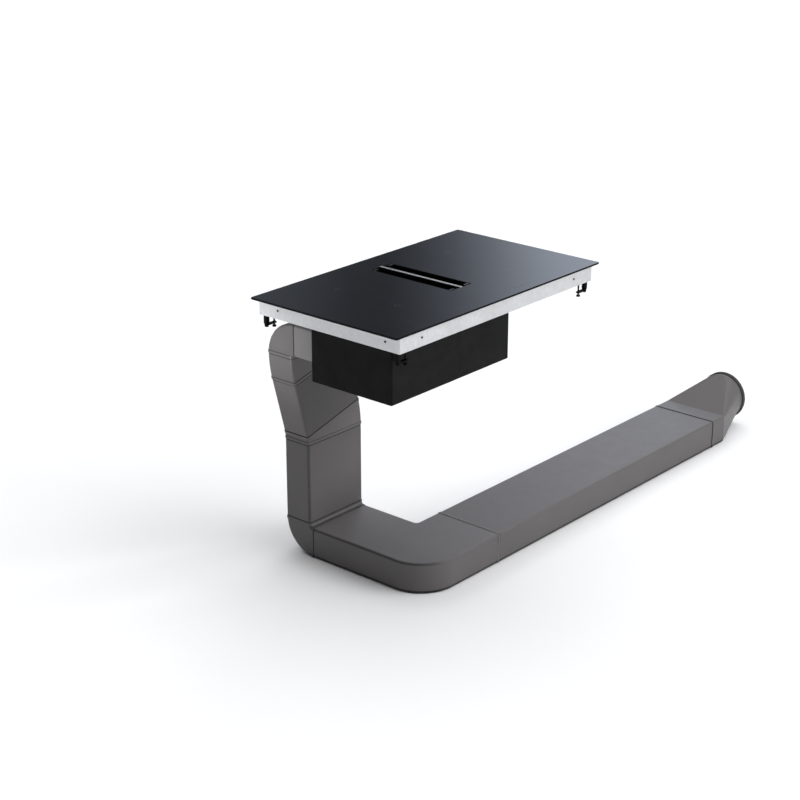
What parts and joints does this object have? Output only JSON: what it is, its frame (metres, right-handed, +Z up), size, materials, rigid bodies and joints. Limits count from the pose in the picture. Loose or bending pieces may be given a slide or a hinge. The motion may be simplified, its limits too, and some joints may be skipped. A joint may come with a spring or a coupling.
{
  "type": "downdraft induction cooktop",
  "caption": "Black glass induction cooktop with a central downdraft slot, extractor box beneath it and a flat exhaust duct running down and along the floor to a round outlet.",
  "frame": {"origin": "centre of the glass in the plane of the worktop surface that the glass edge seals against", "axes": "+X to the user's right along the worktop, +Y to the back, +Z up"},
  "size_m": [1.902, 0.5836, 0.8275],
  "materials": {
    "hob_glass": "polished black",
    "seal_foam": "matt black",
    "sheet_metal": "galvanised satin",
    "dark_screw": "blackened",
    "clamp_metal": "black powder coat",
    "bar_metal": "brushed, clear anodised",
    "vent_black": "fine grained black",
    "filter_metal": "satin",
    "box_black": "fine grained black",
    "duct_grey": "semi-gloss warm grey",
    "duct_light": "semi-gloss light grey",
    "seal_dark": "matt dark grey",
    "ring_dark": "matt dark grey",
    "fan_black": "satin black",
    "motor_paint": "satin dark grey",
    "coil_copper": "enamelled litz wire",
    "ferrite": "matt sintered",
    "carrier_alu": "mill finish",
    "board": "solder mask",
    "mica": "pressed sheet",
    "terminal": "moulded"
  },
  "bodies": {
    "cooktop": {"glass_top": "hob_glass", "worktop_gasket": "seal_foam", "inlet_seal": "seal_foam", "chassis_tray": "sheet_metal", "casing_screws": "dark_screw", "duct_seals": "seal_dark", "coil_carrier_left": "carrier_alu", "coil_carrier_right": "carrier_alu", "induction_coils_left": "coil_copper", "induction_coils_right": "coil_copper", "power_board_left": "board", "power_board_right": "board", "heat_sink_left": "carrier_alu", "heat_sink_right": "carrier_alu", "cooling_fan_frame_left": "fan_black", "cooling_fan_frame_right": "fan_black", "support_posts": "terminal", "ferrite_bars": "ferrite", "pan_sensors": "terminal", "insulation_sheets": "mica", "touch_board": "board", "terminal_block": "terminal", "cable_gland": "fan_black", "clamp_posts": "clamp_metal", "inlet_well": "vent_black", "extractor_housing": "box_black", "extractor_cover": "box_black", "blower_scroll_lower": "fan_black", "blower_scroll_upper": "fan_black", "blower_inlet_ring": "fan_black", "blower_motor": "motor_paint", "duct_outlet": "duct_light", "damper_frame": "fan_black", "duct_bend_top": "duct_grey", "duct_offset_upper": "duct_grey", "duct_offset_straight": "duct_grey", "duct_offset_lower": "duct_grey", "duct_riser": "duct_grey", "duct_bend_bottom": "duct_grey", "duct_corner_bend": "duct_grey", "duct_floor_run": "duct_grey", "duct_connector": "duct_grey", "round_adapter": "duct_grey", "outlet_socket": "duct_grey", "outlet_end_ring": "ring_dark"},
    "vent_cassette": {"vent_frame": "vent_black", "vent_bar": "bar_metal", "vent_louvers": "vent_black", "filter_frame": "filter_metal", "filter_mesh": "filter_metal"},
    "impeller": {"impeller": "fan_black"},
    "cooling_rotor_left": {"cooling_fan_rotor_left": "fan_black"},
    "cooling_rotor_right": {"cooling_fan_rotor_right": "fan_black"},
    "damper_left": {"damper_flap_left": "fan_black"},
    "damper_right": {"damper_flap_right": "fan_black"},
    "overflow_tray": {"overflow_tray": "box_black"},
    "clamp_front_left": {"clamp_arm_front_left": "clamp_metal"},
    "clamp_front_right": {"clamp_arm_front_right": "clamp_metal"},
    "clamp_rear_left": {"clamp_arm_rear_left": "clamp_metal"},
    "clamp_rear_right": {"clamp_arm_rear_right": "clamp_metal"}
  },
  "joints": [
    {"name": "cassette_lift", "type": "slide", "parent": "cooktop", "child": "vent_cassette", "axis": [0, 0, 1], "range_m": [0, 0.2]},
    {"name": "impeller_spin", "type": "hinge", "parent": "cooktop", "child": "impeller", "pos_m": [-0.255, -0.068, -0.13], "axis": [0, 0, 1], "continuous": true},
    {"name": "cooling_spin_left", "type": "hinge", "parent": "cooktop", "child": "cooling_rotor_left", "pos_m": [-0.11, -0.15, -0.033], "axis": [0, 0, 1], "continuous": true},
    {"name": "cooling_spin_right", "type": "hinge", "parent": "cooktop", "child": "cooling_rotor_right", "pos_m": [0.11, -0.15, -0.033], "axis": [0, 0, 1], "continuous": true},
    {"name": "damper_swing_right", "type": "hinge", "parent": "cooktop", "child": "damper_right", "pos_m": [-0.2011, 0.0975, -0.1415], "axis": [0, 0, 1], "range_deg": [0, 75], "stiffness_Nm_per_rad": 0.01},
    {"name": "damper_swing_left", "type": "hinge", "parent": "cooktop", "child": "damper_left", "pos_m": [-0.2081, 0.0975, -0.1415], "axis": [0, 0, 1], "range_deg": [-75, 0], "stiffness_Nm_per_rad": 0.01},
    {"name": "overflow_release", "type": "slide", "parent": "cooktop", "child": "overflow_tray", "axis": [0, 0, -1], "range_m": [0, 0.12]},
    {"name": "clamp_swing_front_left", "type": "hinge", "parent": "cooktop", "child": "clamp_front_left", "pos_m": [-0.406, -0.234, -0.0735], "axis": [0, 0, 1], "range_deg": [-90, 0]},
    {"name": "clamp_swing_front_right", "type": "hinge", "parent": "cooktop", "child": "clamp_front_right", "pos_m": [0.406, -0.234, -0.0735], "axis": [0, 0, 1], "range_deg": [0, 90]},
    {"name": "clamp_swing_rear_left", "type": "hinge", "parent": "cooktop", "child": "clamp_rear_left", "pos_m": [-0.406, 0.234, -0.0735], "axis": [0, 0, 1], "range_deg": [0, 90]},
    {"name": "clamp_swing_rear_right", "type": "hinge", "parent": "cooktop", "child": "clamp_rear_right", "pos_m": [0.406, 0.234, -0.0735], "axis": [0, 0, 1], "range_deg": [-90, 0]}
  ],
  "couplings": [
    {"joint": "damper_swing_left", "follows": "damper_swing_right", "ratio": -1}
  ]
}
